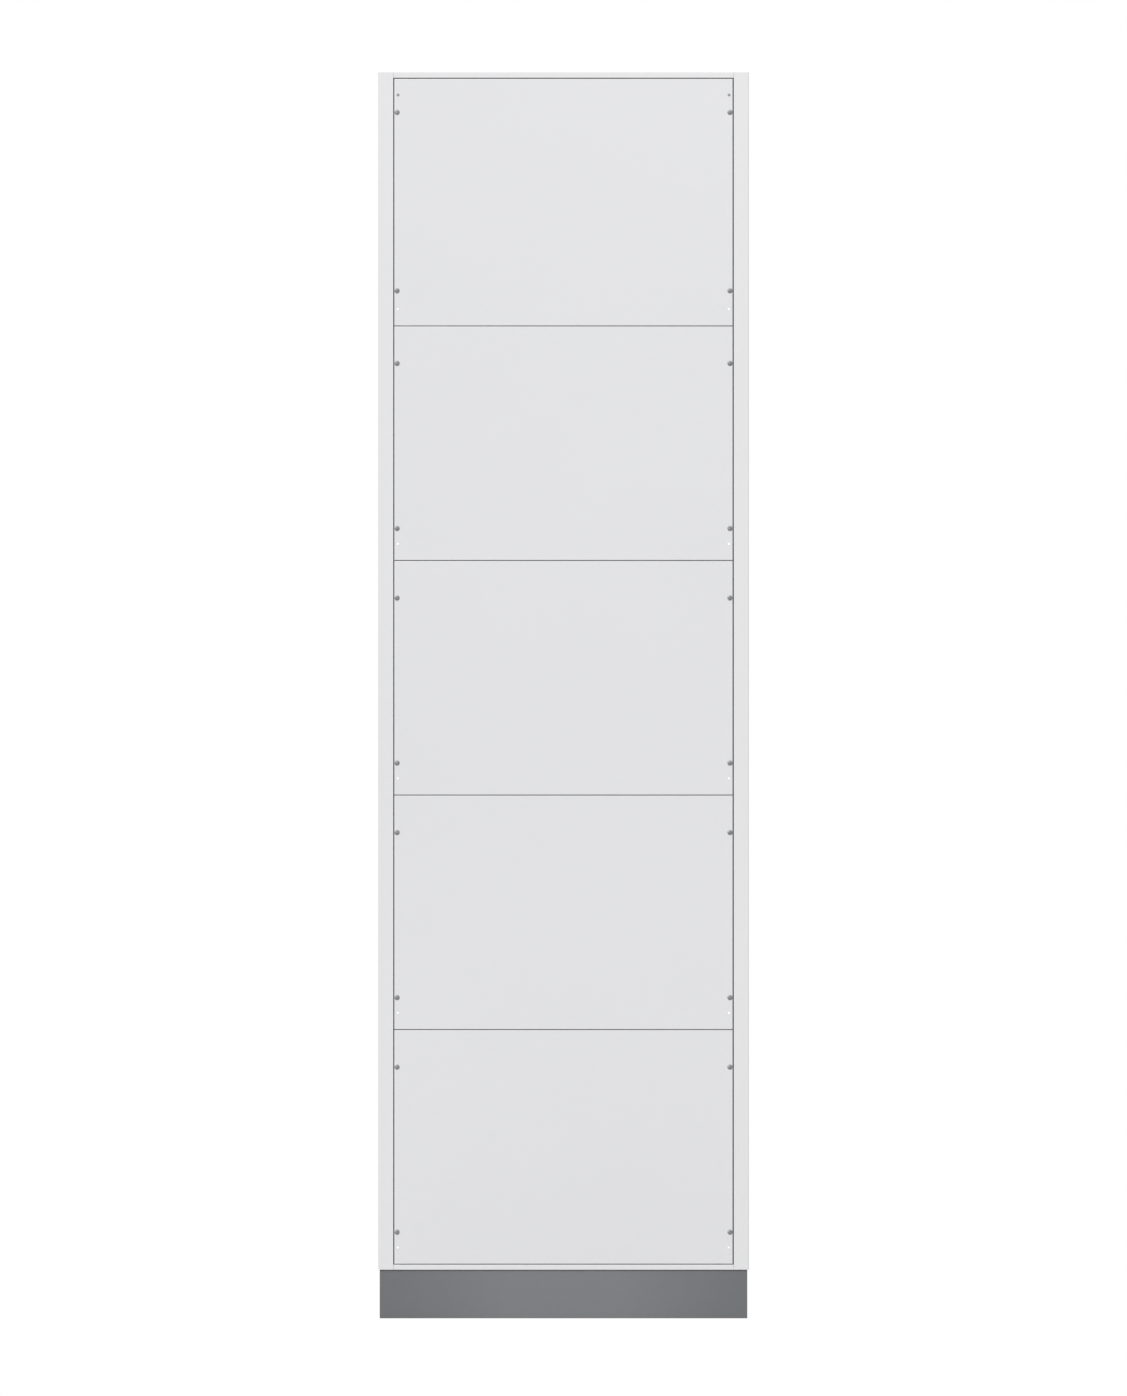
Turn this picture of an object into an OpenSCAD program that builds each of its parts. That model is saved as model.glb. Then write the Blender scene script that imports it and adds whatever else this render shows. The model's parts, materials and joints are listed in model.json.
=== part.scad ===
// Parcel locker column: a folded sheet-steel carcass on a plinth, five flush doors on concealed pivot
// hinges, and an electrically released hook lock and sprung ejector behind each door.
// Millimetres. +Z is up, the doors face -Y, and the origin is on the floor below the middle of the body.

/* [Body] */
// Width over the two side panels
body_w = 595; // [480:1:800]
// Depth from the door faces to the back panel
body_d = 600; // [450:1:750]
// Thickness of the carcass sheet
sheet = 1.2; // [1:0.1:1.6]
// Width of each stile's front face
stile_w = 24.2; // [22.2:0.1:40]
// Height of the visible rail above the top door
top_rail_h = 8.75; // [6:0.25:20]
// Height of the visible rail below the bottom door
bottom_rail_h = 8.25; // [7:0.25:20]
// Outer radius of the folded edges
bend_r = 1.5; // [0.5:0.1:2]

/* [Plinth] */
// Height of the plinth
plinth_h = 78; // [60:1:150]
// How far the plinth stands in from the sides
plinth_inset = 2.5; // [1:0.5:20]
// How far the plinth stands in from the front and the back
plinth_setback = 3; // [2:0.5:20]
// Thickness of the plinth sheet
plinth_sheet = 2; // [1.5:0.1:3]
// Width of the plinth's folded flanges
plinth_flange = 20; // [12:1:20]

/* [Doors] */
// Height of each of the four lower doors
door_h = 375.5; // [250:0.5:450]
// Height of the top door
top_door_h = 396.5; // [250:0.5:450]
// Gap between one door and the next
door_gap = 1; // [0.8:0.1:3]
// Gap between a door and a stile
side_gap = 1.6; // [1.5:0.1:3]
// Gap between the top door and the top rail
top_gap = 1.5; // [0.8:0.1:3]
// Depth of the door pans
pan_d = 16; // [15.5:0.1:16.2]
// Thickness of the door sheet
door_sheet = 1.2; // [1:0.1:1.2]
// Thickness of the door stiffeners
stiffener_t = 1; // [0.8:0.1:1]

/* [Door rivets] */
// Diameter of a rivet head
rivet_head_d = 8; // [6:0.5:8]
// Height of a rivet head
rivet_head_h = 1.2; // [0.8:0.1:1.5]
// Diameter of a rivet body
rivet_d = 4; // [3.2:0.1:4]
// Distance from a rivet to the door's side edge
rivet_edge = 4.5; // [4.2:0.1:5]
// Upper rivet below the top edge of a lower door
rivet_below_top = 59.5; // [45:0.5:70]
// Lower rivet above the bottom edge of a lower door
rivet_above_bottom = 51; // [45:0.5:70]
// Upper rivet below the top edge of the top door
top_rivet_below_top = 54; // [45:0.5:70]
// Lower rivet above the bottom edge of the top door
top_rivet_above_bottom = 56; // [45:0.5:70]
// Diameter of the raised weld marks near the door corners
weld_mark_d = 5; // [3:0.1:6]
// Height of the weld marks
weld_mark_h = 0.6; // [0.3:0.1:1]

/* [Hinges] */
// Distance from the pivot to the door's side edge
pivot_in = 12; // [11.5:0.1:12]
// Distance from the pivot to the door's face
pivot_back = 6.5; // [6.3:0.1:6.5]
// Diameter of the hinge pins
hinge_pin_d = 4; // [3:0.1:4]
// Thickness of the fixed hinge brackets
bracket_t = 3; // [2:0.5:5]
// Thickness of the ears on the door's hinge leaves
ear_t = 2; // [1.5:0.5:3]
// Height of a hinge from its rivet, towards the middle of the door
hinge_from_rivet = 25; // [15:1:40]

/* [Locks] */
// Distance from the door's side edge to the middle of the lock
lock_in = 8.5; // [8:0.1:9]
// Thickness of the lock hook
hook_t = 4; // [3:0.5:5]
// Angle that the hook turns through from released to latched
hook_swing = 25; // [20:1:30]
// Diameter of the strike's crossbar
strike_bar_d = 5; // [4:0.5:5]
// Travel of the ejector
ejector_travel = 14; // [8:1:15]
// Diameter of the ejector's shaft
ejector_d = 8; // [6:0.5:9]

/* [Posts and shelves] */
// How far the posts stand back from the door faces
post_setback = 22.4; // [22.4:0.1:24]
// How far each post reaches past the stile
post_reach = 28.5; // [28.5:0.5:40]
// Depth of the hinge post
hinge_post_d = 30; // [25:1:60]
// Depth of the duct behind the lock post
duct_d = 128; // [110:1:180]
// Height of a shelf's front flange
shelf_flange = 25; // [20:1:25]
// Height of a shelf's top above the middle of the door gap
shelf_rise = 8; // [6:0.5:9]

/* [Fixings] */
// Diameter of the bolt holes that join two columns
joining_hole_d = 9; // [6:0.5:12]
// Distance from the rear joining holes to the back
joining_from_back = 100; // [40:1:120]
// Distance between the rear and the front joining holes
joining_span = 300; // [100:1:300]
// Height of the lower joining holes above the plinth
joining_rise = 180; // [60:1:200]
// Depth of the upper joining holes below the top
joining_drop = 150; // [60:1:200]
// Diameter of the wall fixing holes
wall_hole_d = 10; // [6:0.5:12]
// Distance between the two columns of wall fixing holes
wall_hole_spacing = 400; // [200:1:400]
// Height of the lower wall fixing holes above the plinth
wall_hole_rise = 215; // [60:1:220]
// Depth of the upper wall fixing holes below the top
wall_hole_drop = 190; // [60:1:220]
// Bore of the cable grommet
grommet_bore = 22; // [12:1:26]
// Diameter of a levelling foot's pad
foot_d = 40; // [25:1:45]
// Diameter of a levelling foot's stud
stud_d = 10; // [6:1:12]

/* [Hidden] */
$fn = 48;

// Clearances
run_fit = 0.05;      // radial, between a pin and what turns on it
slide_fit = 0.08;    // radial, between the ejector shaft and its barrel
seam = 0.3;          // between sheets that butt, and between a part and its seat on a moving part
bite = 1;            // how far a cutter passes the face that it cuts

// Colours
light_grey = [0.78, 0.79, 0.80];
plinth_grey = [0.42, 0.43, 0.44];
zinc = [0.66, 0.67, 0.66];
black = [0.10, 0.10, 0.11];

// Planes of the body
half_w = body_w / 2;
front = -body_d / 2;
back = body_d / 2;
inner_x = half_w - sheet;
jamb_x = half_w - stile_w;
door_x = jamb_x - side_gap;
door_w = 2 * door_x;
post_x = jamb_x - post_reach;
post_y = front + post_setback;
duct_back = post_y + duct_d;
floor_top = plinth_h + bottom_rail_h;
back_face = back - sheet;
rear_flange_w = 20;
roof_flange_h = 15;

// Doors and shelves, numbered from the top
door_count = 5;
door_pitch = door_h + door_gap;
function door_bottom(k) = floor_top + door_gap + (door_count - k) * door_pitch;
function door_height(k) = k == 1 ? top_door_h : door_h;
function door_top(k) = door_bottom(k) + door_height(k);
function door_middle(k) = door_bottom(k) + door_height(k) / 2;
function shelf_top(k) = door_bottom(k) - door_gap / 2 + shelf_rise;
function upper_rivet(k) = door_top(k) - (k == 1 ? top_rivet_below_top : rivet_below_top);
function lower_rivet(k) = door_bottom(k) + (k == 1 ? top_rivet_above_bottom : rivet_above_bottom);
function hinge_levels(k) = [lower_rivet(k) + hinge_from_rivet, upper_rivet(k) - hinge_from_rivet];
body_top = door_top(1) + top_gap + top_rail_h;
roof_under = body_top - sheet;

// Hinge
pivot_x = -door_x + pivot_in;
pivot_y = front + pivot_back;
knuckle_r = pivot_back - door_sheet - stiffener_t - seam;
washer_t = 0.9;
washer_gap = 0.2;
ear_z = bracket_t / 2 + washer_t + washer_gap;
leaf_t = 1.5;
arm_w = 10;
pin_head_h = 1;

// Door stiffener, measured from the side edge of the door
stiffener_start = door_sheet + 0.2;
stiffener_leg = 26;
stiffener_crown = 20;
stiffener_lip = 8;
stiffener_back = front + pan_d - 1;
stiffener_end_gap = 1.8;
stiffener_face = front + door_sheet + stiffener_t;

// Lock, measured from the middle of its door
lock_x = door_x - lock_in;
lock_case_w = 18.5;
lock_case_d = 60;
lock_case_h = 90;
lock_case_t = 1.5;
lock_front = post_y + sheet;
lock_back = lock_front + lock_case_d - lock_case_t;
strike_plate_y = front + pan_d - 1;
strike_t = 2;
strike_arm_gap = 8;
strike_arm_h = 8;
strike_w = 20;
bar_y = lock_front + 8.4;
hook_reach = 16;
hook_y = bar_y + hook_reach;
hook_pin_d = 4;
hook_boss_r = 6;
ejector_drop = 30;
ejector_tip_d = 10;
ejector_tip_y = strike_plate_y + strike_t + seam;
ejector_guided_l = 25;
ejector_shaft_l = ejector_guided_l + ejector_travel;
barrel_d = 14;

// Feet
foot_inset = 45;
gusset_z = 30;
gusset_t = 3;
gusset_w = 72;
pad_h = 8;

// Radius of the sphere that a dome of diameter d and height h is cut from
function dome_radius(d, h) = (pow(d / 2, 2) + pow(h, 2)) / (2 * h);

// A flat sheet profile whose two corners on the -Y side are rounded
module rounded_front(w, d, r) {
    translate([r, 0]) square([w - 2 * r, d]);
    translate([0, r]) square([w, d - r]);
    translate([r, r]) circle(r);
    translate([w - r, r]) circle(r);
}

// A cylinder that runs along +Y from y
module rod_y(d, x, y, z, l) {
    translate([x, y, z]) rotate([-90, 0, 0]) cylinder(d = d, h = l);
}

// A cylinder that runs along +X from x
module rod_x(d, x, y, z, l) {
    translate([x, y, z]) rotate([0, 90, 0]) cylinder(d = d, h = l);
}

mandrel_d = rivet_d * 0.55;
mandrel_recess = 0.5;
rivet_bulge = 1.2;
rivet_tail = 2;

// A domed blind rivet in the face at y = 0, head towards -Y, with its set end `grip` behind the face
module rivet(grip) {
    dome_r = dome_radius(rivet_head_d, rivet_head_h);
    difference() {
        intersection() {
            translate([0, dome_r - rivet_head_h, 0]) sphere(dome_r, $fn = 96);
            rod_y(rivet_head_d, 0, -rivet_head_h, 0, rivet_head_h);
        }
        rod_y(mandrel_d, 0, -rivet_head_h - bite, 0, bite + mandrel_recess);
    }
    rod_y(rivet_d, 0, 0, 0, grip);
    rod_y(rivet_d + rivet_bulge, 0, grip, 0, rivet_tail);
}

// ---------------------------------------------------------------- carcass

// Section of the left side panel, folded from one sheet
module side_section() {
    intersection() {
        union() {
            translate([-half_w, front]) square([sheet, body_d]);
            translate([-half_w, front]) square([stile_w, sheet]);
        }
        translate([-half_w, front]) rounded_front(2 * stile_w, body_d, bend_r);
    }
}

// Left side panel: outer wall, stile, jamb and rear flange
module side_shell() {
    translate([0, 0, plinth_h]) linear_extrude(body_top - plinth_h) side_section();
    inner_h = roof_under - floor_top;
    translate([-jamb_x - sheet, front + sheet, floor_top])
        cube([sheet, post_setback - sheet, inner_h]);
    translate([-inner_x, back_face - sheet, floor_top]) cube([rear_flange_w, sheet, inner_h]);
}

// Holes that bolt one column to the next
module joining_holes() {
    for (y = [back - joining_from_back - joining_span, back - joining_from_back],
         z = [plinth_h + joining_rise, body_top - joining_drop])
        rod_x(joining_hole_d, -half_w - bite, y, z, sheet + 2 * bite);
}

module side_panel_left() {
    color(light_grey) difference() {
        side_shell();
        joining_holes();
        back_flange_holes();
    }
}

module side_panel_right() {
    color(light_grey) difference() {
        mirror([1, 0, 0]) difference() {
            side_shell();
            joining_holes();
            back_flange_holes();
        }
        rod_x(grommet_seat_d, inner_x - bite, grommet_y, grommet_z, sheet + 2 * bite);
    }
}

// Roof with its front rail, the header behind the top door, and the rear flange
module roof_panel() {
    rail_w = 2 * (jamb_x - seam);
    header_w = 2 * (post_x - seam);
    rail_bottom = body_top - top_rail_h;
    color(light_grey) difference() {
        union() {
            translate([-inner_x, front + sheet, roof_under]) cube([2 * inner_x, body_d - sheet, sheet]);
            translate([-rail_w / 2, 0, body_top]) rotate([0, 90, 0])
                linear_extrude(rail_w) rail_section(top_rail_h);
            translate([-rail_w / 2, front, rail_bottom]) cube([rail_w, post_setback, sheet]);
            translate([-header_w / 2, post_y, rail_bottom - roof_flange_h + sheet])
                cube([header_w, sheet, roof_flange_h]);
            translate([-header_w / 2, back_face - sheet, roof_under - roof_flange_h])
                cube([header_w, sheet, roof_flange_h]);
        }
        back_row_holes(roof_row_z);
    }
}

// Section of a rail's face and the front of its sheet, drawn with its folded edge at the origin
module rail_section(h) {
    intersection() {
        union() {
            translate([0, front]) square([h, sheet]);
            translate([0, front]) square([sheet, 4 * sheet]);
        }
        translate([0, front]) rail_round(h);
    }
}

// Rounds the folded edge of a rail
module rail_round(h) {
    translate([bend_r, 0]) square([h, 4 * sheet]);
    translate([0, bend_r]) square([h, 4 * sheet]);
    translate([bend_r, bend_r]) circle(bend_r);
}

// How far the floor's returns reach over the plinth
floor_return = 24;

// Floor with its front rail; its returns rest on the plinth
module floor_panel() {
    rail_w = 2 * (jamb_x - seam);
    color(light_grey) difference() {
        union() {
            translate([-inner_x, front + sheet, floor_top - sheet])
                cube([2 * inner_x, body_d - 2 * sheet, sheet]);
            translate([-rail_w / 2, 0, floor_top]) rotate([0, 90, 0])
                linear_extrude(rail_w) rail_section(bottom_rail_h);
            translate([-rail_w / 2, front, plinth_h]) cube([rail_w, floor_return, sheet]);
            translate([-post_x, back_face - sheet, plinth_h]) cube([2 * post_x, sheet, bottom_rail_h]);
            translate([-post_x, back_face - floor_return, plinth_h])
                cube([2 * post_x, floor_return, sheet]);
        }
        back_row_holes(floor_row_z);
    }
}

// Back panel, riveted to the flanges of the sides, the roof and the floor
module back_panel() {
    color(light_grey) difference() {
        translate([-inner_x + seam, back_face, plinth_h])
            cube([2 * (inner_x - seam), sheet, roof_under - plinth_h]);
        for (x = [-1, 1], z = [plinth_h + wall_hole_rise, body_top - wall_hole_drop])
            rod_y(wall_hole_d, x * wall_hole_spacing / 2, back_face - bite, z, sheet + 2 * bite);
        for (p = back_rivet_points)
            rod_y(rivet_d, p[0], back_face - bite, p[1], sheet + 2 * bite);
    }
}

// Rivets of the back panel: a column up each side, a row along the roof and a row along the floor
back_column_x = inner_x - rear_flange_w / 2;
back_column_n = 9;
roof_row_z = roof_under - roof_flange_h / 2;
floor_row_z = plinth_h + bottom_rail_h / 2;
back_row_x = body_w / 4;
back_column = [for (i = [0 : back_column_n - 1])
    floor_top + 30 + i * (roof_under - floor_top - 60) / (back_column_n - 1)];
back_rivet_points = concat(
    [for (x = [-back_column_x, back_column_x], z = back_column) [x, z]],
    [for (x = [-back_row_x, 0, back_row_x], z = [floor_row_z, roof_row_z]) [x, z]]);

module back_flange_holes() {
    for (z = back_column)
        rod_y(rivet_d, -back_column_x, back_face - sheet - bite, z, sheet + 2 * bite);
}

module back_row_holes(z) {
    for (x = [-back_row_x, 0, back_row_x])
        rod_y(rivet_d, x, back_face - sheet - bite, z, sheet + 2 * bite);
}

module back_rivets() {
    color(zinc) for (p = back_rivet_points)
        translate([p[0], back, p[1]]) mirror([0, 1, 0]) rivet(2 * sheet);
}

foot_points = [for (x = [-1, 1], y = [-1, 1])
    [x * (half_w - plinth_inset - foot_inset), y * (back - plinth_setback - foot_inset)]];

// Plinth: four welded walls with folded flanges, and a gusset for a levelling foot in each corner
module plinth() {
    w = body_w - 2 * plinth_inset;
    d = body_d - 2 * plinth_setback;
    color(plinth_grey) difference() {
        translate([-w / 2, -d / 2, 0]) cube([w, d, plinth_h]);
        translate([-w / 2 + plinth_flange, -d / 2 + plinth_flange, -bite])
            cube([w - 2 * plinth_flange, d - 2 * plinth_flange, plinth_h + 2 * bite]);
        translate([-w / 2 + plinth_sheet, -d / 2 + plinth_sheet, plinth_sheet])
            cube([w - 2 * plinth_sheet, d - 2 * plinth_sheet, plinth_h - 2 * plinth_sheet]);
    }
    color(plinth_grey) difference() {
        for (x = [-1, 1], y = [-1, 1]) {
            corner_x = x * (w / 2 - plinth_sheet - gusset_w / 2);
            corner_y = y * (d / 2 - plinth_sheet - gusset_w / 2);
            translate([corner_x, corner_y, gusset_z + gusset_t / 2])
                cube([gusset_w, gusset_w, gusset_t], center = true);
        }
        for (p = foot_points)
            translate([p[0], p[1], gusset_z - bite])
                cylinder(d = stud_d + 2 * run_fit, h = gusset_t + 2 * bite);
    }
}

// Levelling feet, each a pad on a stud with a lock nut above and below its gusset
module levelling_feet() {
    nut_h = stud_d * 0.6;
    color(zinc) for (p = foot_points) translate([p[0], p[1], 0]) {
        cylinder(d = foot_d, h = pad_h - 2);
        translate([0, 0, pad_h - 2]) cylinder(d1 = foot_d, d2 = stud_d * 1.8, h = 2);
        translate([0, 0, pad_h]) cylinder(d = stud_d, h = gusset_z + gusset_t + 2 * nut_h - pad_h);
        for (z = [gusset_z - nut_h, gusset_z + gusset_t])
            translate([0, 0, z]) cylinder(d = stud_d * 1.9, h = nut_h, $fn = 6);
    }
}

// ---------------------------------------------------------------- posts, duct and shelves

// Closed channel behind the hinge side of the doors, slotted for the hinge brackets
module hinge_post() {
    h = roof_under - floor_top;
    color(light_grey) difference() {
        union() {
            translate([-inner_x, post_y, floor_top]) cube([inner_x - post_x, sheet, h]);
            translate([-post_x - sheet, post_y, floor_top]) cube([sheet, hinge_post_d, h]);
            translate([-inner_x, post_y + hinge_post_d - sheet, floor_top])
                cube([inner_x - post_x, sheet, h]);
        }
        for (k = [1 : door_count], z = hinge_levels(k))
            translate([pivot_x - seam, post_y - bite, z - bracket_t / 2 - seam])
                cube([arm_w + 2 * seam, sheet + 2 * bite, bracket_t + 2 * seam]);
    }
}

lock_post_lip = 13;

// Channel behind the lock side of the doors, with a slot for each strike and a hole for each ejector
module lock_post() {
    h = roof_under - floor_top;
    slot_w = strike_arm_gap + 2 * strike_t + 3;
    slot_h = strike_arm_h + 5;
    color(light_grey) difference() {
        union() {
            translate([post_x, post_y, floor_top]) cube([inner_x - post_x, sheet, h]);
            translate([post_x, post_y, floor_top]) cube([sheet, lock_post_lip, h]);
            translate([inner_x - sheet, post_y, floor_top]) cube([sheet, 2 * lock_post_lip, h]);
        }
        for (k = [1 : door_count]) {
            translate([lock_x - slot_w / 2, post_y - bite, door_middle(k) - slot_h / 2])
                cube([slot_w, sheet + 2 * bite, slot_h]);
            rod_y(ejector_tip_d + 4 * seam, lock_x, post_y - bite, door_middle(k) - ejector_drop,
                  sheet + 2 * bite);
        }
    }
}

// Removable cover that closes the duct towards the compartments
module duct_cover() {
    h = roof_under - floor_top;
    color(light_grey) {
        translate([post_x + sheet, post_y + 2 * sheet, floor_top + seam])
            cube([sheet, duct_d - 2 * sheet, h - 2 * seam]);
        translate([post_x + sheet, duct_back - sheet, floor_top + seam])
            cube([inner_x - post_x - sheet, sheet, h - 2 * seam]);
    }
}

// Shelf below door k, notched round the hinge post and the duct
module shelf(k) {
    z = shelf_top(k);
    side_flange = 15;
    rear = back_face - sheet;
    left_front = post_y + hinge_post_d;
    color(light_grey) {
        translate([0, 0, z - sheet]) linear_extrude(sheet) polygon([
            [-post_x, post_y], [post_x, post_y], [post_x, duct_back], [inner_x, duct_back],
            [inner_x, rear], [-inner_x, rear], [-inner_x, left_front], [-post_x, left_front]]);
        translate([-post_x + seam, post_y, z - shelf_flange])
            cube([2 * (post_x - seam), sheet, shelf_flange - sheet]);
        translate([-post_x + seam, rear - sheet, z - side_flange])
            cube([2 * (post_x - seam), sheet, side_flange - sheet]);
        translate([-inner_x, left_front, z - side_flange])
            cube([sheet, rear - left_front, side_flange - sheet]);
        translate([inner_x - sheet, duct_back, z - side_flange])
            cube([sheet, rear - duct_back, side_flange - sheet]);
    }
}

// Rubber buffers: one on the lock post near each end of every door, and a guide pad on each jamb
// beside the top of every lower door, behind the sweep of the door's corner
module door_buffers() {
    buffer_d = 6.4;
    buffer_x = lock_x - 7;
    buffer_h = post_setback - pan_d - seam;
    inset = 3.6;
    chamfer = 1;
    pad_drop = 29;
    pad_w = 8;
    pad_l = 6;
    pad_in = 2 * seam;
    door_corner_r = norm([pivot_in, pivot_back]);
    pad_y = pivot_y + sqrt(pow(door_corner_r, 2) - pow(pivot_in + pad_in, 2)) + seam;
    color(black) {
        for (k = [1 : door_count], z = [door_bottom(k) + inset, door_top(k) - inset])
            translate([buffer_x, post_y, z]) rotate([90, 0, 0]) {
                cylinder(d = buffer_d, h = buffer_h - chamfer);
                translate([0, 0, buffer_h - chamfer])
                    cylinder(d1 = buffer_d, d2 = buffer_d - 2 * chamfer, h = chamfer);
            }
        for (k = [2 : door_count], side = [0, 1]) mirror([side, 0, 0])
            translate([door_x + pad_in, pad_y, door_top(k) - pad_drop - pad_l / 2])
                cube([side_gap - pad_in, pad_w, pad_l]);
    }
}

// ---------------------------------------------------------------- hinges

// Fixed brackets: an arm that carries the pin's bore, with a foot inside the hinge post
module hinge_brackets() {
    foot_y = post_y + sheet;
    foot_t = 2;
    foot_half = 12;
    color(zinc) for (k = [1 : door_count], z = hinge_levels(k)) translate([pivot_x, 0, z]) {
        difference() {
            union() {
                translate([0, pivot_y, -bracket_t / 2]) cylinder(r = knuckle_r, h = bracket_t);
                translate([0, pivot_y, -bracket_t / 2]) cube([arm_w, foot_y - pivot_y, bracket_t]);
                translate([-8, foot_y, -foot_half]) cube([8 + arm_w, foot_t, 2 * foot_half]);
            }
            translate([0, pivot_y, -bracket_t]) cylinder(d = hinge_pin_d + 2 * run_fit, h = 2 * bracket_t);
        }
    }
}

// Nylon washers above and below each bracket
module hinge_washers() {
    color("white") for (k = [1 : door_count], z = hinge_levels(k), side = [0, 1])
        translate([pivot_x, pivot_y, z]) mirror([0, 0, side]) translate([0, 0, bracket_t / 2])
            difference() {
                cylinder(r = knuckle_r - 0.2, h = washer_t);
                translate([0, 0, -bite]) cylinder(d = hinge_pin_d + 2 * run_fit, h = washer_t + 2 * bite);
            }
}

// Leaves on the door: two ears on a web that is welded to the stiffener, and the pin through them
module door_hinge_leaves(k) {
    web_x = stiffener_leg - pivot_in - leaf_t;
    web_y = pivot_y + 4;
    half_h = ear_z + ear_t;
    color(zinc) for (z = hinge_levels(k)) translate([pivot_x, 0, z]) {
        difference() {
            union() {
                translate([web_x, stiffener_face, -half_h])
                    cube([leaf_t, web_y - stiffener_face, 2 * half_h]);
                for (side = [0, 1]) mirror([0, 0, side]) translate([0, 0, ear_z]) {
                    translate([0, pivot_y, 0]) cylinder(r = knuckle_r, h = ear_t);
                    translate([0, stiffener_face, 0]) cube([web_x, web_y - stiffener_face, ear_t]);
                }
            }
            translate([0, pivot_y, -half_h - bite]) cylinder(d = hinge_pin_d, h = 2 * (half_h + bite));
        }
        translate([0, pivot_y, -half_h]) cylinder(d = hinge_pin_d, h = 2 * half_h);
        for (side = [0, 1]) mirror([0, 0, side]) translate([0, pivot_y, half_h])
            cylinder(d = hinge_pin_d + 2, h = pin_head_h);
    }
}

// ---------------------------------------------------------------- doors

// Outer shape of door k: a block whose front edges are rounded
module door_block(k) {
    h = door_height(k);
    intersection() {
        translate([-door_x, front, door_bottom(k)]) linear_extrude(h) rounded_front(door_w, pan_d, bend_r);
        translate([door_x, front, door_bottom(k)]) rotate([0, -90, 0])
            linear_extrude(door_w) rounded_front(h, pan_d, bend_r);
    }
}

// Folded door pan with its rivet holes, hinge notches and raised weld marks
module door_panel(k) {
    notch = bracket_t + 2;
    color(light_grey) {
        difference() {
            door_block(k);
            translate([-door_x + door_sheet, front + door_sheet, door_bottom(k) + door_sheet])
                cube([door_w - 2 * door_sheet, pan_d, door_height(k) - 2 * door_sheet]);
            for (z = hinge_levels(k))
                translate([-door_x - bite, front + door_sheet, z - notch / 2])
                    cube([door_sheet + 2 * bite, pan_d, notch]);
            door_rivet_places(k) rod_y(rivet_d, 0, -bite, 0, door_sheet + 2 * bite);
        }
        weld_marks(k);
    }
}

// Raised marks where the stiffeners are welded: in the lower corners, and on the top door in all four
module weld_marks(k) {
    dome_r = dome_radius(weld_mark_d, weld_mark_h);
    mark_edge = 6;
    mark_rise = 26;
    marks = concat([door_bottom(k) + mark_rise], k == 1 ? [door_top(k) - mark_rise] : []);
    for (x = [-door_x + mark_edge, door_x - mark_edge], z = marks)
        translate([x, front, z]) intersection() {
            translate([0, dome_r - weld_mark_h, 0]) sphere(dome_r, $fn = 96);
            rod_y(weld_mark_d, 0, -weld_mark_h, 0, weld_mark_h + door_sheet / 2);
        }
}

// Puts its child on the face of door k at each rivet
module door_rivet_places(k) {
    for (x = [-door_x + rivet_edge, door_x - rivet_edge], z = [lower_rivet(k), upper_rivet(k)])
        translate([x, front, z]) children();
}

// Blind rivets through the door skin and the stiffeners
module door_rivets(k) {
    color("dimgray") door_rivet_places(k) rivet(door_sheet + stiffener_t);
}

// Section of the left stiffener: a wide flange, a hat and a narrow lip
module stiffener_section() {
    face_y = front + door_sheet;
    leg_x = stiffener_leg;
    crown_x = leg_x + stiffener_crown;
    translate([stiffener_start, face_y]) square([leg_x - stiffener_start + stiffener_t, stiffener_t]);
    translate([leg_x, face_y]) square([stiffener_t, stiffener_back - face_y]);
    translate([leg_x, stiffener_back - stiffener_t]) square([stiffener_crown + stiffener_t, stiffener_t]);
    translate([crown_x, face_y]) square([stiffener_t, stiffener_back - face_y]);
    translate([crown_x, face_y]) square([stiffener_lip, stiffener_t]);
}

// A stiffener up each side of door k
module door_stiffeners(k) {
    bottom = door_bottom(k) + door_sheet + stiffener_end_gap;
    h = door_height(k) - 2 * (door_sheet + stiffener_end_gap);
    color(light_grey) difference() {
        for (side = [0, 1]) mirror([side, 0, 0])
            translate([-door_x, 0, bottom]) linear_extrude(h) stiffener_section();
        door_rivet_places(k) rod_y(rivet_d, 0, 0, 0, door_sheet + stiffener_t + bite);
    }
}

// Strike: a bracket on the door's lock-side stiffener, with two arms and a crossbar for the hook
module door_strike(k) {
    low = -ejector_drop - 13;
    high = 20;
    stand = strike_plate_y - stiffener_face;
    arm_l = bar_y + 3.5 - strike_plate_y;
    color(zinc) translate([lock_x, 0, door_middle(k)]) {
        translate([-strike_w / 2 - 3, strike_plate_y, low]) cube([strike_w, strike_t, high - low]);
        for (z = [low, high - strike_t])
            translate([-strike_w / 2 - 3, stiffener_face, z]) cube([strike_w, stand, strike_t]);
        for (x = [-strike_arm_gap / 2 - strike_t, strike_arm_gap / 2])
            translate([x, strike_plate_y, -strike_arm_h / 2]) cube([strike_t, arm_l, strike_arm_h]);
        rod_x(strike_bar_d, -strike_arm_gap / 2, bar_y, 0, strike_arm_gap);
    }
}

// ---------------------------------------------------------------- locks and ejectors

// Lock cases behind the lock post, open towards it
module lock_cases() {
    color(black) for (k = [1 : door_count]) translate([lock_x, lock_front, door_middle(k)])
        difference() {
            translate([-lock_case_w / 2, 0, -lock_case_h / 2]) cube([lock_case_w, lock_case_d, lock_case_h]);
            translate([-lock_case_w / 2 + lock_case_t, -bite, -lock_case_h / 2 + lock_case_t])
                cube([lock_case_w - 2 * lock_case_t, lock_case_d - lock_case_t + bite,
                      lock_case_h - 2 * lock_case_t]);
        }
}

// Release solenoids: a coil block with its armature towards the hook's tail
module lock_solenoids() {
    coil_d = 24;
    armature_d = 5;
    inner_w = lock_case_w - 2 * lock_case_t;
    color("darkslategray") for (k = [1 : door_count]) translate([lock_x, lock_back, door_middle(k)]) {
        translate([-inner_w / 2, -coil_d, -14]) cube([inner_w, coil_d, 24]);
        translate([0, -coil_d, -9]) rotate([90, 0, 0]) cylinder(d = armature_d, h = 3);
    }
}

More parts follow.
